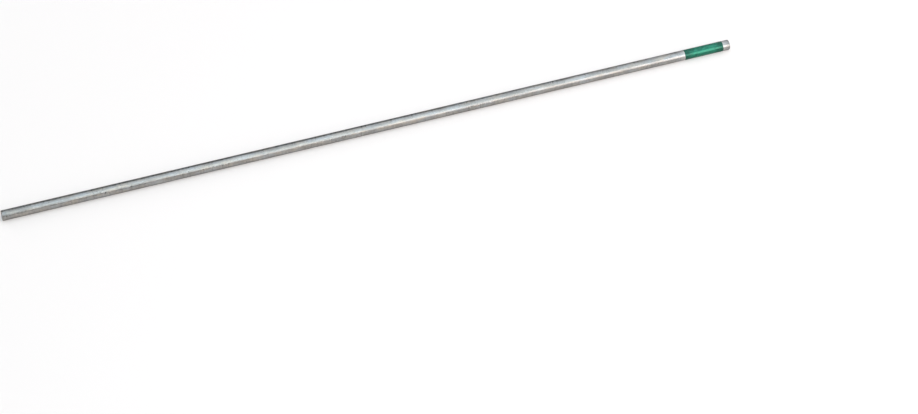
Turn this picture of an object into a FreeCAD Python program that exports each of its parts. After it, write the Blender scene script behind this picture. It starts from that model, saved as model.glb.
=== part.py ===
# A tungsten electrode for a gas tungsten arc welding torch, made of two pieces that never come apart:
#   electrode_rod  one straight rod of centreless ground tungsten, cut square at both ends, its edges broken
#   green_band     the coat of green lacquer round the rod near one end, the colour code for pure tungsten
# Frame: the rod's axis is X and the coated end points to +X. The origin is on the axis at mid length.
# Every length is in millimetres and every angle in degrees.

import FreeCAD
import Part
import math
import os

# Driving dimensions of the rod
ROD_DIAMETER = 2.4
ROD_LENGTH = 175.0
EDGE_BREAK = 0.1          # how far each end's bevel cuts in from the rod's side
EDGE_BREAK_ANGLE = 45.0   # between the bevel and the rod's axis

# Driving dimensions of the coat
BAND_LENGTH = 9.7
BAND_SETBACK = 1.7        # bare metal left between the coat and the coated end's face
COAT_THICKNESS = 0.02
COAT_EDGE_ANGLE = 55.0    # between the metal and the lacquer's rounded edge, where they meet

AXIS_POINT = FreeCAD.Vector(0, 0, 0)
AXIS_DIRECTION = FreeCAD.Vector(1, 0, 0)
FULL_TURN = 360.0

SHANK_RADIUS = ROD_DIAMETER / 2
END_FACE = ROD_LENGTH / 2   # distance of each end's face from the origin


def profile_point(along, radius):
    """A point of a turned profile, at a place along the axis and a distance from it."""
    return FreeCAD.Vector(along, 0, radius)


def turned(edges):
    """The solid that a closed profile, drawn above the axis as joined edges, sweeps in a full turn."""
    return Part.Face(Part.Wire(edges)).revolve(AXIS_POINT, AXIS_DIRECTION, FULL_TURN)


def electrode_rod():
    """The bare rod, a ground cylinder between two flat ends that each have a bevelled edge."""
    bevel_run = EDGE_BREAK / math.tan(math.radians(EDGE_BREAK_ANGLE))
    outline = [
        profile_point(-END_FACE, 0),
        profile_point(-END_FACE, SHANK_RADIUS - EDGE_BREAK),
        profile_point(-END_FACE + bevel_run, SHANK_RADIUS),
        profile_point(END_FACE - bevel_run, SHANK_RADIUS),
        profile_point(END_FACE, SHANK_RADIUS - EDGE_BREAK),
        profile_point(END_FACE, 0),
    ]
    return turned([Part.makeLine(a, b) for a, b in zip(outline, outline[1:] + outline[:1])])


def coat_edge(rim, inwards):
    """The coat's rounded edge and the place along the axis where the coat reaches its full height.

    The edge is an arc. It leaves the metal at rim, at COAT_EDGE_ANGLE, and runs on smoothly into
    the coat's outer surface. inwards is the way from the rim to the coat, +1 or -1 along X.
    """
    angle = math.radians(COAT_EDGE_ANGLE)
    arc_radius = COAT_THICKNESS / (1 - math.cos(angle))
    shoulder = rim + inwards * arc_radius * math.sin(angle)
    arc_centre_height = SHANK_RADIUS + COAT_THICKNESS - arc_radius

    def on_arc(turn):
        return profile_point(shoulder - inwards * arc_radius * math.sin(turn),
                             arc_centre_height + arc_radius * math.cos(turn))

    return Part.Arc(on_arc(angle), on_arc(angle / 2), on_arc(0)).toShape(), shoulder


def green_band():
    """The coat, a thin sleeve seated on the rod all round, with a rounded edge at each end."""
    near_rim = END_FACE - BAND_SETBACK
    far_rim = near_rim - BAND_LENGTH
    far_edge, far_shoulder = coat_edge(far_rim, 1)
    near_edge, near_shoulder = coat_edge(near_rim, -1)

    def line_along(start, end, radius):
        return Part.makeLine(profile_point(start, radius), profile_point(end, radius))

    outside = line_along(far_shoulder, near_shoulder, SHANK_RADIUS + COAT_THICKNESS)
    seat = line_along(near_rim, far_rim, SHANK_RADIUS)
    return turned([far_edge, outside, near_edge, seat])


def main():
    """Builds each piece and writes it to the parts folder, one STEP file a piece."""
    os.makedirs("parts", exist_ok=True)
    pieces = {
        "electrode_rod": electrode_rod(),
        "green_band": green_band(),
    }
    for name, shape in pieces.items():
        shape.exportStep(f"parts/{name}.step")


main()
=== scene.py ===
"""A tungsten electrode for gas tungsten arc welding, dressed for a studio picture.

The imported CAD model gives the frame: the rod's axis is X, the coated end points to +X, the origin
is on the axis at mid length and +Z is up as the rod lies. Blender lengths are metres. Sizes that
belong to the object are written in millimetres and turned to metres where a mesh or a pattern is
made.
"""

import logging
import math
from dataclasses import dataclass, field
from enum import Enum
from typing import Any

import bpy
import numpy as np
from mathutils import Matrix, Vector

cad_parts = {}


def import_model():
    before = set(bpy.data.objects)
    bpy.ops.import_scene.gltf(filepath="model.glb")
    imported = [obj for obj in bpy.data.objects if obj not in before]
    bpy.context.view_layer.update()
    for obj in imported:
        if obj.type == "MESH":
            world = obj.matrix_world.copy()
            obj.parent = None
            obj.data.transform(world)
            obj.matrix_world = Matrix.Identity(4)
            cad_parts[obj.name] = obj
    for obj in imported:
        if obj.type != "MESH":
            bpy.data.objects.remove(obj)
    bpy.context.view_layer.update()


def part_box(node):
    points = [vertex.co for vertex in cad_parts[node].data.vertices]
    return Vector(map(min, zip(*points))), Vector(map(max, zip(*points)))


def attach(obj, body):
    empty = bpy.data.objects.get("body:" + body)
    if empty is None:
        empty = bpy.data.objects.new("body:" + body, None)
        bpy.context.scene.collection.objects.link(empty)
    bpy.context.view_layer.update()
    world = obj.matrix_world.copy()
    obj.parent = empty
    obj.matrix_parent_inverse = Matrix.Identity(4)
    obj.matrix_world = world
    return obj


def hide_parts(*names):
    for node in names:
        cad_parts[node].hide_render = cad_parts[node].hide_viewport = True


LOG = logging.getLogger("tungsten_electrode")

Tree = bpy.types.NodeTree
Socket = bpy.types.NodeSocket
Colour = tuple[float, float, float, float]

MM = 0.001
PICTURE_WIDTH = 918
FULL_TURN = 2.0 * math.pi
# Where the seam of each piece's grid lies round the rod's axis, from +Y towards +Z: underneath
SEAM_ANGLE = -math.pi / 2

ROD_NODE = "electrode_rod"
BAND_NODE = "green_band"
BODY = "root"

# The bake's map, and the map that the ground finish reads its lay from
BAKE_MAP = "OFBake"
LAY_MAP = "lay"

# A noise pattern keeps nearly all its values between these two.
NOISE_LOW, NOISE_HIGH = 0.3, 0.7


class RodEnd(Enum):
    """The rod's two ends, each with the middle of its disc in the bake's map."""

    PLAIN = (0.95, 0.15)
    COATED = (0.95, 0.35)


class Run(Enum):
    """The straight runs of the rod's outline, each with its way in degrees from +X outwards."""

    FACE = 90.0
    BEVEL = 45.0
    SIDE = 0.0


def linear(hex_colour: str) -> Colour:
    """Turn an sRGB hex colour into the linear RGBA that shaders take, by the curve of sRGB.

    Args:
        hex_colour: Six hex digits with a leading hash, as a colour picker gives them.

    Returns:
        Linear red, green and blue with an alpha of 1.
    """
    values = [int(hex_colour[i:i + 2], 16) / 255.0 for i in (1, 3, 5)]
    red, green, blue = (v / 12.92 if v <= 0.04045 else ((v + 0.055) / 1.055) ** 2.4
                        for v in values)
    return red, green, blue, 1.0


def add_node(tree: Tree, kind: str, settings: dict[str | int, Any] | None = None,
             links: dict[str | int, Socket] | None = None) -> bpy.types.Node:
    """Add one node to a tree, set it up and join it to what feeds it.

    Args:
        tree: The node tree that the node goes into.
        kind: The node's type, such as "ShaderNodeTexNoise".
        settings: A value for each property or input. An input is named by its label or its
            number, a property by its name in lower case.
        links: The output socket that feeds each input, by the input's label or number.

    Returns:
        The new node.
    """
    node = tree.nodes.new(kind)
    for name, value in (settings or {}).items():
        if isinstance(name, str) and hasattr(node, name):
            setattr(node, name, value)
        else:
            node.inputs[name].default_value = value
    for name, output in (links or {}).items():
        tree.links.new(output, node.inputs[name])
    return node


def set_ramp(node: bpy.types.Node, stops: list[tuple[float, Colour]]) -> None:
    """Give a colour ramp its stops.

    Args:
        node: The ColorRamp node.
        stops: Place and colour of each stop, from low to high.
    """
    elements = node.color_ramp.elements
    while len(elements) < len(stops):
        elements.new(0.5)
    for element, (place, colour) in zip(elements, stops):
        element.position = place
        element.color = colour


def new_material(name: str) -> tuple[bpy.types.Material, Tree]:
    """Make an empty node material.

    Args:
        name: The material's name.

    Returns:
        The material and its node tree.
    """
    material = bpy.data.materials.new(name)
    material.use_nodes = True
    material.node_tree.nodes.clear()
    return material, material.node_tree


def distance_along(tree: Tree, here: Socket, place: float) -> Socket:
    """Add nodes that tell how far a point lies from a place along X.

    Args:
        tree: The material's tree.
        here: The output that gives object coordinates.
        place: The place along X, in metres.

    Returns:
        The output that gives the distance in metres.
    """
    along = add_node(tree, "ShaderNodeSeparateXYZ", {}, {"Vector": here}).outputs["X"]
    away = add_node(tree, "ShaderNodeMath", {"operation": "SUBTRACT", 1: place}, {0: along})
    distance = add_node(tree, "ShaderNodeMath", {"operation": "ABSOLUTE"}, {0: away.outputs[0]})
    return distance.outputs[0]


def add_surface(tree: Tree, colour: Socket, grain: Socket, roughness: tuple[float, float],
                depth_mm: float, settings: dict[str, Any],
                links: dict[str, Socket] | None = None, under: Socket | None = None) -> None:
    """Add a surface whose grain gives its gloss and its relief, and join it to the output.

    Args:
        tree: The material's tree.
        colour: The output that gives the surface's colour.
        grain: The output that gives the pattern of the marks in the surface.
        roughness: How rough the surface is where the pattern is low, and where it is high.
        depth_mm: How far the pattern raises the surface.
        settings: The shader's other values, which are the same all over the surface.
        links: What feeds the shader's other inputs.
        under: The normal of a coarser relief that this one lies on.
    """
    gloss = add_node(tree, "ShaderNodeMapRange",
                     {"From Min": NOISE_LOW, "From Max": NOISE_HIGH,
                      "To Min": roughness[0], "To Max": roughness[1]},
                     {"Value": grain})
    relief = add_node(tree, "ShaderNodeBump", {"Strength": 1.0, "Distance": depth_mm * MM},
                      {"Height": grain})
    if under is not None:
        tree.links.new(under, relief.inputs["Normal"])
    shader = add_node(tree, "ShaderNodeBsdfPrincipled", settings,
                      {"Base Color": colour, "Roughness": gloss.outputs["Result"],
                       "Normal": relief.outputs["Normal"], **(links or {})})
    add_node(tree, "ShaderNodeOutputMaterial", {}, {"Surface": shader.outputs["BSDF"]})


@dataclass(frozen=True)
class Grain:
    """A noise pattern with its own pitch along each axis of a piece.

    The pitches are about how far the pattern runs between two light places, along X, Y and Z.
    Detail is how many finer layers it has, and roughness is how strong each one is beside the one
    before.
    """

    pitch_mm: tuple[float, float, float]
    detail: float = 2.0
    roughness: float = 0.5

    def pattern(self, tree: Tree, here: Socket) -> Socket:
        """Add the pattern to a material.

        Args:
            tree: The material's tree.
            here: The output that gives object coordinates.

        Returns:
            The output that gives the pattern, whose values lie around 0.5.
        """
        scale = Vector(1.0 / (pitch * MM) for pitch in self.pitch_mm)
        mapping = add_node(tree, "ShaderNodeMapping", {"Scale": scale}, {"Vector": here})
        noise = add_node(tree, "ShaderNodeTexNoise",
                         {"Scale": 1.0, "Detail": self.detail, "Roughness": self.roughness},
                         {"Vector": mapping.outputs["Vector"]})
        return noise.outputs["Fac"]


@dataclass(frozen=True)
class GroundTungsten:
    """Centreless ground tungsten: bare grey metal with a satin shine.

    The wheel leaves fine marks round the rod. They smear a highlight along the rod and leave it
    crisp round it, so the eye sees long streaks of light with clear borders, finely broken up.
    """

    # Real marks are 0.02 to 0.05 mm apart, too fine to show. The pattern is drawn about ten times
    # as coarse, and only its finest layers have that pitch.
    marks: Grain = Grain((0.5, 1.6, 1.6), detail=5.0, roughness=0.68)
    mark_depth_mm: float = 0.022
    # The wheel's chatter leaves shallow flats all over, which fray the borders of a highlight.
    chatter: Grain = Grain((0.75, 0.5, 0.5))
    chatter_depth_mm: float = 0.024
    # A film of oxide, far thinner than paint, turns the grey a little warmer or cooler in patches.
    oxide: Grain = Grain((3.5, 1.0, 1.0))
    cool: str = "#A3A5A6"
    cool_below: float = 0.38
    warm: str = "#ABA49B"
    warm_above: float = 0.62
    # Faint dull stains lie along the rod, and the marks break them up.
    stains: Grain = Grain((6.0, 1.2, 1.2), detail=3.0, roughness=0.65)
    dull: str = "#8C8A87"
    dull_below: float = 0.165
    clean_above: float = 0.335
    # Painted highlight: a strip of metal on each side of the coat is painted a lighter grey, a
    # glint along the coat's edges.
    painted_glint: str = "#B1AFAC"
    glint_width_mm: float = 1.3
    edge_tint: str = "#A2A3A6"
    roughness: tuple[float, float] = (0.24, 0.42)
    anisotropic: float = 0.8

    def material(self, band_near: float, band_far: float) -> bpy.types.Material:
        """Build the material.

        Args:
            band_near: Where the coat's edge by the coated end lies along X, in metres.
            band_far: Where the coat's other edge lies along X, in metres.

        Returns:
            The ground tungsten.
        """
        material, tree = new_material("ground_tungsten")
        here = add_node(tree, "ShaderNodeTexCoord").outputs["Object"]
        marks, chatter = self.marks.pattern(tree, here), self.chatter.pattern(tree, here)
        stains, oxide = self.stains.pattern(tree, here), self.oxide.pattern(tree, here)

        grey = add_node(tree, "ShaderNodeValToRGB", {}, {"Fac": oxide})
        set_ramp(grey, [(self.cool_below, linear(self.cool)), (self.warm_above, linear(self.warm))])
        both = add_node(tree, "ShaderNodeMath", {"operation": "MULTIPLY"}, {0: stains, 1: marks})
        clean = add_node(tree, "ShaderNodeMapRange",
                         {"From Min": self.dull_below, "From Max": self.clean_above},
                         {"Value": both.outputs[0]})
        tone = add_node(tree, "ShaderNodeMixRGB",
                        {"blend_type": "MIX", "Color1": linear(self.dull)},
                        {"Fac": clean.outputs["Result"], "Color2": grey.outputs["Color"]})
        # Painted highlight: the glint beside the coat lightens the metal's colour.
        glint_share = self.painted_glint_beside_coat(tree, here, band_near, band_far)
        colour = add_node(tree, "ShaderNodeMixRGB",
                          {"blend_type": "MIX", "Color2": linear(self.painted_glint)},
                          {"Fac": glint_share, "Color1": tone.outputs["Color"]})

        flats = add_node(tree, "ShaderNodeBump",
                         {"Strength": 1.0, "Distance": self.chatter_depth_mm * MM},
                         {"Height": chatter})
        lay = add_node(tree, "ShaderNodeTangent", {"direction_type": "UV_MAP", "uv_map": LAY_MAP})
        add_surface(tree, colour.outputs["Color"], marks, self.roughness, self.mark_depth_mm,
                    {"Metallic": 1.0, "Anisotropic": self.anisotropic,
                     "Specular Tint": linear(self.edge_tint)},
                    links={"Tangent": lay.outputs["Tangent"]}, under=flats.outputs["Normal"])
        return material

    def painted_glint_beside_coat(self, tree: Tree, here: Socket, near: float, far: float) -> Socket:
        """Mark the metal beside the coat, where a glint is painted into its colour.

        Args:
            tree: The material's tree.
            here: The output that gives object coordinates.
            near: The coat's edge by the coated end, in metres along X.
            far: The coat's other edge.

        Returns:
            An output that is 1 next to the coat and falls to 0 over the painted glint's width.
        """
        away = distance_along(tree, here, (near + far) / 2)
        half = (near - far) / 2
        share = add_node(tree, "ShaderNodeMapRange",
                         {"From Min": half, "From Max": half + self.glint_width_mm * MM,
                          "To Min": 1.0, "To Max": 0.0},
                         {"Value": away})
        return share.outputs["Result"]


@dataclass(frozen=True)
class CutTungsten:
    """The rod's ends, cut off with a thin abrasive wheel: matt grey metal with straight marks.

    The cut is rougher than the ground side and has no lay round the axis, so it mirrors nothing
    and stays about as light from every side.
    """

    # Real marks are about 0.02 mm apart. They are drawn coarser, so that they show.
    marks: Grain = Grain((0.6, 1.8, 0.12), detail=3.0, roughness=0.6)
    mark_depth_mm: float = 0.006
    dull: str = "#8A8784"
    clean: str = "#A9A6A2"
    roughness: tuple[float, float] = (0.42, 0.58)

    def material(self) -> bpy.types.Material:
        """Build the material.

        Returns:
            The cut tungsten.
        """
        material, tree = new_material("cut_tungsten")
        here = add_node(tree, "ShaderNodeTexCoord").outputs["Object"]
        marks = self.marks.pattern(tree, here)
        tone = add_node(tree, "ShaderNodeValToRGB", {}, {"Fac": marks})
        set_ramp(tone, [(NOISE_LOW, linear(self.dull)), (NOISE_HIGH, linear(self.clean))])
        add_surface(tree, tone.outputs["Color"], marks, self.roughness, self.mark_depth_mm,
                    {"Metallic": 1.0})
        return material


@dataclass(frozen=True)
class GreenLacquer:
    """Green colour-code lacquer, brushed over ground metal in a thin, slightly see-through film.

    The metal under the film throws light back through it, so its satin highlight is a paler green
    and not white, and the brush leaves soft streaks in it. Its body has the deep green of the
    colour code.
    """

    # The brush's streaks are about half as wide as they are long, with finer ones in them.
    streaks: Grain = Grain((1.2, 0.6, 0.6), detail=3.0, roughness=0.7)
    streak_depth_mm: float = 0.014
    body: str = "#0E4D3D"
    body_below: float = 0.31
    thin: str = "#1E755C"
    thin_above: float = 0.59
    # The film pools towards its rims over this width, and is that much deeper in tone there.
    pool_width_mm: float = 2.4
    pool_depth: float = 0.24
    edge_tint: str = "#97A9A3"
    metallic: float = 0.8
    ior: float = 1.5
    roughness: tuple[float, float] = (0.26, 0.42)
    coat_weight: float = 0.4
    coat_roughness: float = 0.2

    def material(self, low_x: float, high_x: float) -> bpy.types.Material:
        """Build the material.

        Args:
            low_x: Where the coat starts along X, in metres.
            high_x: Where it ends.

        Returns:
            The green lacquer.
        """
        material, tree = new_material("green_lacquer")
        here = add_node(tree, "ShaderNodeTexCoord").outputs["Object"]
        streaks = self.streaks.pattern(tree, here)
        away = distance_along(tree, here, (low_x + high_x) / 2)
        half = (high_x - low_x) / 2
        pooled = add_node(tree, "ShaderNodeMapRange",
                          {"From Min": half - self.pool_width_mm * MM, "From Max": half,
                           "To Min": 0.0, "To Max": -self.pool_depth},
                          {"Value": away})
        film = add_node(tree, "ShaderNodeMath", {"operation": "ADD"},
                        {0: streaks, 1: pooled.outputs["Result"]})
        tone = add_node(tree, "ShaderNodeValToRGB", {}, {"Fac": film.outputs[0]})
        set_ramp(tone, [(self.body_below, linear(self.body)), (self.thin_above, linear(self.thin))])
        add_surface(tree, tone.outputs["Color"], streaks, self.roughness, self.streak_depth_mm,
                    {"Metallic": self.metallic, "IOR": self.ior, "Coat Weight": self.coat_weight,
                     "Coat Roughness": self.coat_roughness, "Coat IOR": self.ior,
                     "Specular Tint": linear(self.edge_tint)})
        return material


@dataclass(frozen=True)
class WhiteSweep:
    """Matt white board under the object, which takes a soft shadow.

    Part of its white is given off, to the camera and to reflections only, so it looks white at a
    plain level of light and still holds the shadow. Far from the object, past any shadow, it is
    plain white.
    """

    board: str = "#CAC2BE"
    glow: float = 0.36
    # Where the board turns to plain white, by the distance in metres from the object's middle
    shaded_to: float = 0.12
    white_from: float = 0.34

    def material(self) -> bpy.types.Material:
        """Build the material.

        Returns:
            The matt white board.
        """
        material, tree = new_material("matt_white_board")
        path = add_node(tree, "ShaderNodeLightPath").outputs
        seen = path["Is Camera Ray"]
        for ray in ("Is Glossy Ray", "Is Transmission Ray"):
            seen = add_node(tree, "ShaderNodeMath", {"operation": "MAXIMUM"},
                            {0: seen, 1: path[ray]}).outputs[0]
        strength = add_node(tree, "ShaderNodeMath", {"operation": "MULTIPLY", 1: self.glow},
                            {0: seen})
        board = add_node(tree, "ShaderNodeBsdfDiffuse", {"Color": linear(self.board)})
        glow = add_node(tree, "ShaderNodeEmission", {}, {"Strength": strength.outputs[0]})
        near = add_node(tree, "ShaderNodeAddShader", {},
                        {0: board.outputs["BSDF"], 1: glow.outputs["Emission"]})

        here = add_node(tree, "ShaderNodeTexCoord").outputs["Object"]
        away = add_node(tree, "ShaderNodeVectorMath", {"operation": "LENGTH"}, {0: here})
        far = add_node(tree, "ShaderNodeMapRange",
                       {"interpolation_type": "SMOOTHSTEP", "From Min": self.shaded_to,
                        "From Max": self.white_from},
                       {"Value": away.outputs["Value"]})
        share = add_node(tree, "ShaderNodeMath", {"operation": "MULTIPLY"},
                         {0: far.outputs["Result"], 1: seen})
        white = add_node(tree, "ShaderNodeEmission")
        surface = add_node(tree, "ShaderNodeMixShader", {},
                           {"Fac": share.outputs[0], 1: near.outputs["Shader"],
                            2: white.outputs["Emission"]})
        add_node(tree, "ShaderNodeOutputMaterial", {}, {"Surface": surface.outputs["Shader"]})
        return material


def angles_round(count: int) -> np.ndarray:
    """Give the angles in radians of even steps once round, from 0."""
    return np.arange(count) / count * FULL_TURN


def ring_quads(first: np.ndarray, second: np.ndarray) -> np.ndarray:
    """Join rings of vertices, each to the next, with quads that point outwards.

    A quad goes one step round its ring, by the right hand about X, then on to the next ring and
    back.

    Args:
        first: Vertex numbers of the rings where the quads start, one ring a row.
        second: Vertex numbers of the rings they join to, in the same order.

    Returns:
        One row of four vertex numbers for each quad.
    """
    after_first, after_second = np.roll(first, -1, axis=1), np.roll(second, -1, axis=1)
    return np.stack([first, after_first, after_second, second], axis=-1).reshape(-1, 4)


def build_mesh(name: str, points: np.ndarray, quads: np.ndarray, triangles: np.ndarray,
               maps: dict[str, np.ndarray], sharp_angle: float = 60.0) -> bpy.types.Object:
    """Put a surface into a new mesh object at the origin.

    Args:
        name: The object's name.
        points: The vertices in metres, one row each.
        quads: Four vertex numbers a row, going round each face so that it points outwards.
        triangles: Three vertex numbers a row, likewise.
        maps: For each UV map, one row for each corner of the quads and then of the triangles.
        sharp_angle: The angle between two faces, in degrees, from which their edge is sharp.

    Returns:
        The object, linked to the scene and shaded smooth.
    """
    mesh = bpy.data.meshes.new(name)
    mesh.from_pydata(points.tolist(), [], quads.tolist() + triangles.tolist())
    for map_name, corners in maps.items():
        layer = mesh.uv_layers.new(name=map_name)
        layer.uv.foreach_set("vector", corners.astype(np.float32).ravel())
    mesh.polygons.foreach_set("use_smooth", np.ones(len(mesh.polygons), bool))
    mesh.set_sharp_from_angle(angle=math.radians(sharp_angle))
    mesh.update()
    obj = bpy.data.objects.new(name, mesh)
    bpy.context.scene.collection.objects.link(obj)
    return obj


@dataclass
class ElectrodeRod:
    """The straight ground rod with its two square ends."""

    low_x: float
    high_x: float
    radius: float
    bevel_mm: float = 0.1
    corner_mm: float = 0.04
    corner_points: int = 5
    # An end face's rings lie between these two shares of its flat part's radius.
    face_rings: int = 7
    face_from: float = 0.12
    face_to: float = 0.93
    around: int = 160
    # The strips that the ground side is cut into for the bake's map, and that map's scale and gaps
    strips: int = 5
    stations_per_strip: int = 24
    map_scale_per_mm: float = 0.0252
    map_gap: float = 0.008
    finish: GroundTungsten = field(default_factory=GroundTungsten)
    end_finish: CutTungsten = field(default_factory=CutTungsten)

    def corner(self, place: tuple[float, float], before: Run, after: Run) -> np.ndarray:
        """Round one corner of the outline.

        The points lie on an arc that touches the two straight runs which meet at the corner. Its
        radius is the corner radius, and its centre lies on the inner side of both runs.

        Args:
            place: The corner's distance along X and from the axis, in metres.
            before: The run that comes in.
            after: The run that goes out.

        Returns:
            Points of the arc in order, each with its place along X and its distance from the axis.
        """
        way, turn = math.radians(before.value), math.radians(before.value - after.value)
        size = self.corner_mm * MM
        back = size * math.tan(turn / 2)
        start = np.array(place) - back * np.array([math.cos(way), math.sin(way)])
        inward = math.radians(before.value - 90.0)
        centre = start + size * np.array([math.cos(inward), math.sin(inward)])
        angles = inward + math.pi - np.linspace(0.0, turn, self.corner_points)
        return centre + size * np.stack([np.cos(angles), np.sin(angles)], axis=1)

    def profile(self) -> tuple[np.ndarray, int]:
        """Draw the rod's outline from one end face's centre to the other's.

        The outline goes out along the plain end's face, up its bevel and along the side, and the
        coated end is the plain one's mirror image.

        Returns:
            Points with their place along X and distance from the axis, without the two centres,
            and the number of the point where the ground side starts.
        """
        bevel = self.bevel_mm * MM
        flat = self.radius - bevel
        face = np.linspace(self.face_from, self.face_to, self.face_rings)[:, None] * flat
        left = np.concatenate([
            np.column_stack([np.full(len(face), self.low_x), face]),
            self.corner((self.low_x, flat), Run.FACE, Run.BEVEL),
            self.corner((self.low_x + bevel, self.radius), Run.BEVEL, Run.SIDE),
        ])
        side_start = len(left) - 1
        mirror = self.low_x + self.high_x
        stations = np.linspace(left[-1, 0], mirror - left[-1, 0],
                               self.strips * self.stations_per_strip + 1)[1:-1]
        side = np.column_stack([stations, np.full(len(stations), self.radius)])
        right = left[::-1] * [-1.0, 1.0] + [mirror, 0.0]
        return np.concatenate([left, side, right]), side_start

    def maps(self, profile: np.ndarray, side_start: int,
             cells: np.ndarray) -> dict[str, np.ndarray]:
        """Lay the surface out flat.

        The bake's map cuts the ground side into strips that lie one above the other, each unrolled
        flat, with the two ends as discs beside them. The lay's map runs U along the rod.

        Args:
            profile: The outline's points.
            side_start: The number of the point where the ground side starts.
            cells: For each quad, the number of its ring nearer to -X and its step round.

        Returns:
            Each map's places, one row for each corner of the quads and then of the triangles.
        """
        scale, gap = self.map_scale_per_mm, self.map_gap
        ring, step = cells[:, 0], cells[:, 1]
        corner_ring = np.stack([ring, ring, ring + 1, ring + 1], axis=1)
        corner_step = np.stack([step, step + 1, step + 1, step], axis=1)
        along, out = profile[corner_ring, 0] / MM, profile[corner_ring, 1] / MM
        turned = corner_step / self.around * FULL_TURN
        disc = np.stack([out * np.cos(turned), out * np.sin(turned)], axis=-1)
        middle = np.where((along < 0)[..., None], RodEnd.PLAIN.value, RodEnd.COATED.value)

        side_end = len(profile) - 1 - side_start
        strip = (ring[:, None] - side_start) // self.stations_per_strip
        strip_length = (profile[side_end, 0] - profile[side_start, 0]) / MM / self.strips
        strip_height = FULL_TURN * self.radius / MM * scale
        start = profile[side_start, 0] / MM + strip * strip_length
        strip_u = gap + (along - start) * scale
        strip_v = gap + strip * (strip_height + gap) + corner_step / self.around * strip_height
        unrolled = np.stack([along, turned * self.radius / MM], axis=-1)

        on_side = ((ring >= side_start) & (ring < side_end))[:, None, None]
        bake = np.where(on_side, np.stack([strip_u, strip_v], axis=-1), middle + disc * scale)
        lay = np.where(on_side, unrolled, disc)

        edge_angle = angles_round(self.around)
        circle = np.stack([np.cos(edge_angle), np.sin(edge_angle)], axis=-1)
        fans = {}
        for end, ring_number in ((RodEnd.PLAIN, 0), (RodEnd.COATED, -1)):
            edge = circle * (profile[ring_number, 1] / MM)
            after = np.roll(edge, -1, axis=0)
            pair = (after, edge) if end is RodEnd.PLAIN else (edge, after)
            fans[end] = np.stack([np.zeros_like(edge), *pair], axis=1).reshape(-1, 2)
        bake_fans = [np.array(end.value) + fan * scale for end, fan in fans.items()]
        return {BAKE_MAP: np.concatenate([bake.reshape(-1, 2), *bake_fans]),
                LAY_MAP: np.concatenate([lay.reshape(-1, 2), *fans.values()])}

    def build(self, band_near: float, band_far: float) -> bpy.types.Object:
        """Make the rod and dress it.

        Each point is the outline's point turned about X: x, r cos(a), r sin(a).

        Args:
            band_near: Where the coat's edge by the coated end lies along X, in metres.
            band_far: Where the coat's other edge lies along X, in metres.

        Returns:
            The rod's object.
        """
        profile, side_start = self.profile()
        along = np.repeat(profile[:, 0], self.around)
        out = np.repeat(profile[:, 1], self.around)
        turned = np.tile(angles_round(self.around) + SEAM_ANGLE, len(profile))
        rings = np.arange(len(along)).reshape(len(profile), self.around)
        skin = np.stack([along, out * np.cos(turned), out * np.sin(turned)], axis=1)
        points = np.concatenate([skin, [[self.low_x, 0.0, 0.0], [self.high_x, 0.0, 0.0]]])
        quads = ring_quads(rings[:-1], rings[1:])
        first, last = rings[0], rings[-1]
        triangles = np.concatenate([
            np.stack([np.full(self.around, len(skin)), np.roll(first, -1), first], axis=1),
            np.stack([np.full(self.around, len(skin) + 1), last, np.roll(last, -1)], axis=1),
        ])
        cells = np.stack(np.meshgrid(np.arange(len(profile) - 1), np.arange(self.around),
                                     indexing="ij"), axis=-1).reshape(-1, 2)
        rod = build_mesh("ground_rod", points, quads, triangles,
                         self.maps(profile, side_start, cells))
        rod.data.materials.append(self.finish.material(band_near, band_far))
        rod.data.materials.append(self.end_finish.material())
        ring = cells[:, 0]
        on_end = (ring < side_start) | (ring >= len(profile) - 1 - side_start)
        finishes = np.concatenate([on_end, np.ones(len(triangles))]).astype(np.int32)
        rod.data.polygons.foreach_set("material_index", finishes)
        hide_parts(ROD_NODE)
        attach(rod, BODY)
        return rod


@dataclass(frozen=True)
class Waves:
    """A few waves round the coat, each a whole number of times, so that they close on themselves.

    Rounds are the least and the most waves round the coat, and slopes the least and the most along
    it.
    """

    count: int
    rounds: tuple[int, int]
    slopes: tuple[float, float] = (0.0, 0.0)

    def add_up(self, seed: int, angle: np.ndarray, place: np.ndarray | float = 0.0) -> np.ndarray:
        """Add up the waves.

        Each wave is cos(n a + k t + p), with a whole number n round the coat, k along it and a
        phase p, all drawn from the seed. The sum is scaled to lie between 0 and 1.

        Args:
            seed: What the draws start from, together with the number of waves.
            angle: The angle round the rod.
            place: The place along the coat, from 0 to 1.

        Returns:
            The sum at each point.
        """
        draw = np.random.default_rng(seed + self.count)
        total = np.zeros(np.broadcast(angle, place).shape)
        for _ in range(self.count):
            whole = draw.integers(self.rounds[0], self.rounds[1] + 1)
            slope = draw.uniform(*self.slopes) * FULL_TURN
            total = total + np.cos(whole * angle + slope * place + draw.uniform(0, FULL_TURN))
        return 0.5 + 0.5 * total / np.abs(total).max()


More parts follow.
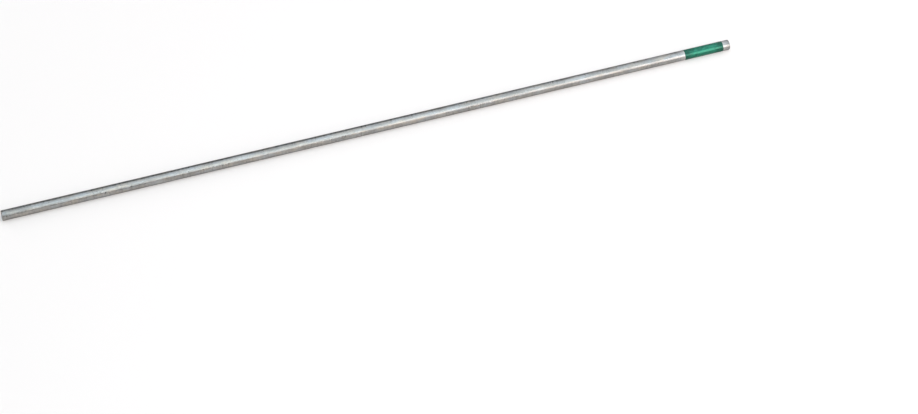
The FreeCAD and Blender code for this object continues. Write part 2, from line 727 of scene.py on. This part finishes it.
@dataclass
class LacquerBand:
    """The coat of green lacquer round the rod near its coated end."""

    low_x: float
    high_x: float
    seat_radius: float
    outer_radius: float
    around: int = 224
    along: int = 110
    edge_run_mm: float = 0.05
    edge_rings: int = 9
    sharp_angle: float = 70.0
    # How far the two rims wander, and their waves
    edge_wave_mm: float = 0.07
    low_rim: Waves = Waves(5, (1, 7))
    high_rim: Waves = Waves(6, (1, 8))
    high_rim_turn: float = 2.0
    # The share by which the film thins at most, and its waves
    thinning: float = 0.35
    film: Waves = Waves(9, (0, 6), (-5.0, 5.0))
    bite_mm: float = 0.004
    seed: int = 7
    # In the bake's map, the margin, how high the seat's strip is and where the skin starts above it
    map_margin: float = 0.01
    seat_strip: float = 0.02
    skin_from: float = 0.06
    finish: GreenLacquer = field(default_factory=GreenLacquer)

    def build(self) -> bpy.types.Object:
        """Make the coat and dress it.

        The coat is a closed shell on a grid of angle and place along it. Its outer skin lies at
        seat + thickness times film times edge, where film is 1 less some thinning by slow waves,
        and edge rises from 0 to 1 over the edge's run as the square root of 1 - (1 - t) squared,
        which is a quarter circle stretched to that run. Its rims wander by a small wave. The inner
        skin is a plain cylinder that bites slightly into the rod.

        Returns:
            The coat's object.
        """
        angle = angles_round(self.around) + SEAM_ANGLE
        length, run = self.high_x - self.low_x, self.edge_run_mm * MM
        share = run / length
        stations = np.concatenate([np.linspace(0.0, share, self.edge_rings)[:-1],
                                   np.linspace(share, 1 - share, self.along),
                                   np.linspace(1 - share, 1.0, self.edge_rings)[1:]])
        place, turned = np.meshgrid(stations, angle, indexing="ij")
        wander = self.edge_wave_mm * MM
        low = self.low_x + wander * self.low_rim.add_up(self.seed, angle)
        high = self.high_x - wander * self.high_rim.add_up(self.seed, angle + self.high_rim_turn)
        x = low[None, :] * (1 - place) + high[None, :] * place
        rise = np.clip(np.minimum(place, 1 - place) * length / run, 0.0, 1.0)
        edge = np.sqrt(np.clip(1 - (1 - rise) ** 2, 0.0, 1.0))
        film = 1 - self.thinning * self.film.add_up(self.seed, turned, place)
        radius = self.seat_radius + (self.outer_radius - self.seat_radius) * film * edge
        outer = np.stack([x, radius * np.cos(turned), radius * np.sin(turned)], axis=-1)

        inner_radius = self.seat_radius - self.bite_mm * MM
        inner_x = np.stack([low, high])
        inner = np.stack([inner_x, np.broadcast_to(inner_radius * np.cos(angle), inner_x.shape),
                          np.broadcast_to(inner_radius * np.sin(angle), inner_x.shape)], axis=-1)
        points = np.concatenate([outer.reshape(-1, 3), inner.reshape(-1, 3)])
        rings = np.arange(len(points)).reshape(-1, self.around)
        chain = np.concatenate([rings[-2:-1], rings[:-2], rings[-1:]])
        quads = ring_quads(chain, np.roll(chain, -1, axis=0))
        band = build_mesh("lacquer_band", points, quads, np.empty((0, 3), int),
                          self.maps(points, quads, len(chain)), self.sharp_angle)
        band.data.materials.append(self.finish.material(self.low_x, self.high_x))
        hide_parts(BAND_NODE)
        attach(band, BODY)
        return band

    def maps(self, points: np.ndarray, quads: np.ndarray, rows: int) -> dict[str, np.ndarray]:
        """Unroll the coat for the bake, its skin above and its hidden seat in a thin strip below.

        Args:
            points: The coat's vertices.
            quads: Its faces, ring by ring.
            rows: How many rings of faces there are. The last one is the seat.

        Returns:
            The bake's map, one row for each corner.
        """
        margin = self.map_margin
        row, step = np.divmod(np.arange(len(quads)), self.around)
        rolled = np.stack([step, step + 1, step + 1, step], axis=1) / self.around
        share = (points[quads, 0] - self.low_x) / (self.high_x - self.low_x)
        bake_v = np.where((row == rows - 1)[:, None], margin + self.seat_strip * rolled,
                          self.skin_from + (1 - margin - self.skin_from) * rolled)
        bake = np.stack([margin + (1 - 2 * margin) * share, bake_v], axis=-1)
        return {BAKE_MAP: bake.reshape(-1, 2)}


@dataclass
class Softbox:
    """One studio softbox, a rectangle of even light that squarely faces the rod's axis."""

    name: str
    place: tuple[float, float, float]
    size: tuple[float, float]
    radiance: float
    colour: str

    def build(self) -> bpy.types.Object:
        """Make the softbox.

        A Blender area lamp of power P and area A shows a brightness of P / (4 A), so the power is
        the brightness times four times the area.

        Returns:
            The lamp's object.
        """
        lamp = bpy.data.lights.new(self.name, "AREA")
        lamp.shape = "RECTANGLE"
        lamp.size, lamp.size_y = self.size
        lamp.energy = self.radiance * 4.0 * self.size[0] * self.size[1]
        lamp.color = linear(self.colour)[:3]
        obj = bpy.data.objects.new(self.name, lamp)
        obj.location = self.place
        to_axis = Vector((0.0, -self.place[1], -self.place[2]))
        obj.rotation_euler = to_axis.to_track_quat("-Z", "Y").to_euler()
        obj.visible_camera = False
        bpy.context.scene.collection.objects.link(obj)
        return obj


@dataclass
class Studio:
    """A white board, a dim room with two light end walls, and softboxes round the object."""

    floor_z: float
    # The floor has rings of these radii on its flat part, and the rest go from there to its rim.
    flat_rings: tuple[float, float] = (0.3, 1.0)
    flat_radius: float = 2.5
    floor_radius: float = 9.0
    rim_rings: int = 25
    rim_height: float = 0.85
    floor_steps: int = 96
    board: WhiteSweep = field(default_factory=WhiteSweep)
    # The room's brightness by the sine of the height above the horizon: dim low down, bright
    # overhead
    room: tuple[tuple[float, float], ...] = (
        (0.0, 0.08), (0.45, 0.12), (0.74, 0.27), (0.90, 1.14), (1.0, 1.32))
    room_colour: str = "#E5F7FF"
    # The walls that the rod's two ends face are light. Their light comes up as the way towards
    # them turns from the first to the second of these shares along X.
    end_wall_light: float = 0.85
    end_wall_from: float = 0.72
    end_wall_full: float = 0.94
    softboxes: tuple[Softbox, ...] = (
        Softbox("front_softbox", (0.07, -0.319, 0.410), (0.17, 0.485), 2.85, "#EFFBFF"),
        Softbox("right_softbox", (0.355, -0.448, 0.262), (0.40, 0.46), 2.78, "#FCFBFF"),
        Softbox("overhead_softbox", (0.24, 0.075, 0.57), (0.60, 0.58), 0.62, "#F8F4FB"),
        Softbox("low_right_softbox", (0.40, -0.57, 0.21), (0.26, 0.24), 1.7, "#FFE0C6"),
        Softbox("back_left_softbox", (-0.35, 0.47, 0.27), (0.25, 0.42), 2.6, "#F8FAFF"),
        Softbox("back_right_softbox", (0.40, 0.47, 0.27), (0.25, 0.42), 2.0, "#F8FAFF"),
    )

    def floor(self) -> bpy.types.Object:
        """Make the floor, a wide flat dish whose rim rises far off.

        The height at distance d from the middle is 0 inside the flat radius, and outside it the
        rim's height times the square of how far d has come from there to the rim.

        Returns:
            The floor's object.
        """
        flat, far, steps = self.flat_radius, self.floor_radius, self.floor_steps
        reach = np.concatenate([self.flat_rings, np.linspace(flat, far, self.rim_rings)])
        angle = angles_round(steps)
        share = np.clip((reach - flat) / (far - flat), 0.0, 1.0)
        height = self.floor_z + self.rim_height * share ** 2
        rings = np.stack([reach[:, None] * np.cos(angle), reach[:, None] * np.sin(angle),
                          np.broadcast_to(height[:, None], (len(reach), steps))], axis=-1)
        points = np.concatenate([rings.reshape(-1, 3), [[0.0, 0.0, self.floor_z]]])
        index = np.arange(len(points) - 1).reshape(len(reach), steps)
        inner, outer = index[:-1], index[1:]
        quads = np.stack([inner, outer, np.roll(outer, -1, 1), np.roll(inner, -1, 1)],
                         axis=-1).reshape(-1, 4)
        fan = np.stack([np.full(steps, len(points) - 1), index[0], np.roll(index[0], -1)], axis=1)
        floor = build_mesh("floor", points, quads, fan, {})
        floor.data.materials.append(self.board.material())
        return floor

    def world(self) -> None:
        """Make the room's own light, by the height above the horizon, and its light end walls."""
        world = bpy.data.worlds.new("studio_room")
        world.use_nodes = True
        tree = world.node_tree
        tree.nodes.clear()
        generated = add_node(tree, "ShaderNodeTexCoord").outputs["Generated"]
        way = add_node(tree, "ShaderNodeSeparateXYZ", {}, {"Vector": generated}).outputs
        ramp = add_node(tree, "ShaderNodeValToRGB", {}, {"Fac": way["Z"]})
        brightest = max(value for _, value in self.room)
        tint = linear(self.room_colour)
        set_ramp(ramp, [(place, tuple(value / brightest * part for part in tint[:3]) + (1.0,))
                        for place, value in self.room])
        light = add_node(tree, "ShaderNodeBackground", {"Strength": brightest},
                         {"Color": ramp.outputs["Color"]})
        sideways = add_node(tree, "ShaderNodeMath", {"operation": "ABSOLUTE"}, {0: way["X"]})
        wall = add_node(tree, "ShaderNodeMapRange",
                        {"interpolation_type": "SMOOTHSTEP", "From Min": self.end_wall_from,
                         "From Max": self.end_wall_full, "To Max": self.end_wall_light},
                        {"Value": sideways.outputs[0]})
        walls = add_node(tree, "ShaderNodeBackground", {}, {"Strength": wall.outputs["Result"]})
        both = add_node(tree, "ShaderNodeAddShader", {},
                        {0: light.outputs["Background"], 1: walls.outputs["Background"]})
        add_node(tree, "ShaderNodeOutputWorld", {}, {"Surface": both.outputs["Shader"]})
        bpy.context.scene.world = world

    def build(self) -> None:
        """Set up the floor, the room and the softboxes."""
        self.floor()
        self.world()
        for softbox in self.softboxes:
            softbox.build()


@dataclass
class StudioCamera:
    """A long lens that looks down on the lying rod from the front left."""

    azimuth: float = -18.848
    elevation: float = 45.5
    look_at: tuple[float, float, float] = (0.009918, -0.030351, 0.0)
    distance: float = 0.6708
    focal_px: float = 3000.0
    sensor_mm: float = 36.0
    nearest: float = 0.01
    farthest: float = 50.0

    def build(self) -> bpy.types.Object:
        """Make the camera and set it as the scene's own.

        The lens is the focal length in pixels times the sensor's width over the picture's width.

        Returns:
            The camera's object.
        """
        turn, rise = math.radians(self.azimuth), math.radians(self.elevation)
        back = Vector((math.sin(turn) * math.cos(rise), -math.cos(turn) * math.cos(rise),
                       math.sin(rise)))
        data = bpy.data.cameras.new("studio_camera")
        data.sensor_width = self.sensor_mm
        data.lens = self.focal_px * self.sensor_mm / PICTURE_WIDTH
        data.clip_start, data.clip_end = self.nearest, self.farthest
        camera = bpy.data.objects.new("studio_camera", data)
        camera.location = Vector(self.look_at) + back * self.distance
        camera.rotation_euler = (-back).to_track_quat("-Z", "Y").to_euler()
        bpy.context.scene.collection.objects.link(camera)
        bpy.context.scene.camera = camera
        return camera


def main() -> None:
    logging.basicConfig(level=logging.INFO, format="%(name)s: %(message)s")
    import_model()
    bpy.context.scene.view_settings.view_transform = "Standard"

    rod_low, rod_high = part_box(ROD_NODE)
    band_low, band_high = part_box(BAND_NODE)
    StudioCamera().build()
    Studio(floor_z=min(rod_low.z, band_low.z)).build()
    rod = ElectrodeRod(low_x=rod_low.x, high_x=rod_high.x, radius=rod_high.z)
    rod_piece = rod.build(band_near=band_high.x, band_far=band_low.x)
    band = LacquerBand(low_x=band_low.x, high_x=band_high.x, seat_radius=rod_high.z,
                       outer_radius=band_high.z)
    band_piece = band.build()
    for piece in (rod_piece, band_piece):
        LOG.info("%s: %d faces", piece.name, len(piece.data.polygons))


if __name__ == "__main__":
    main()
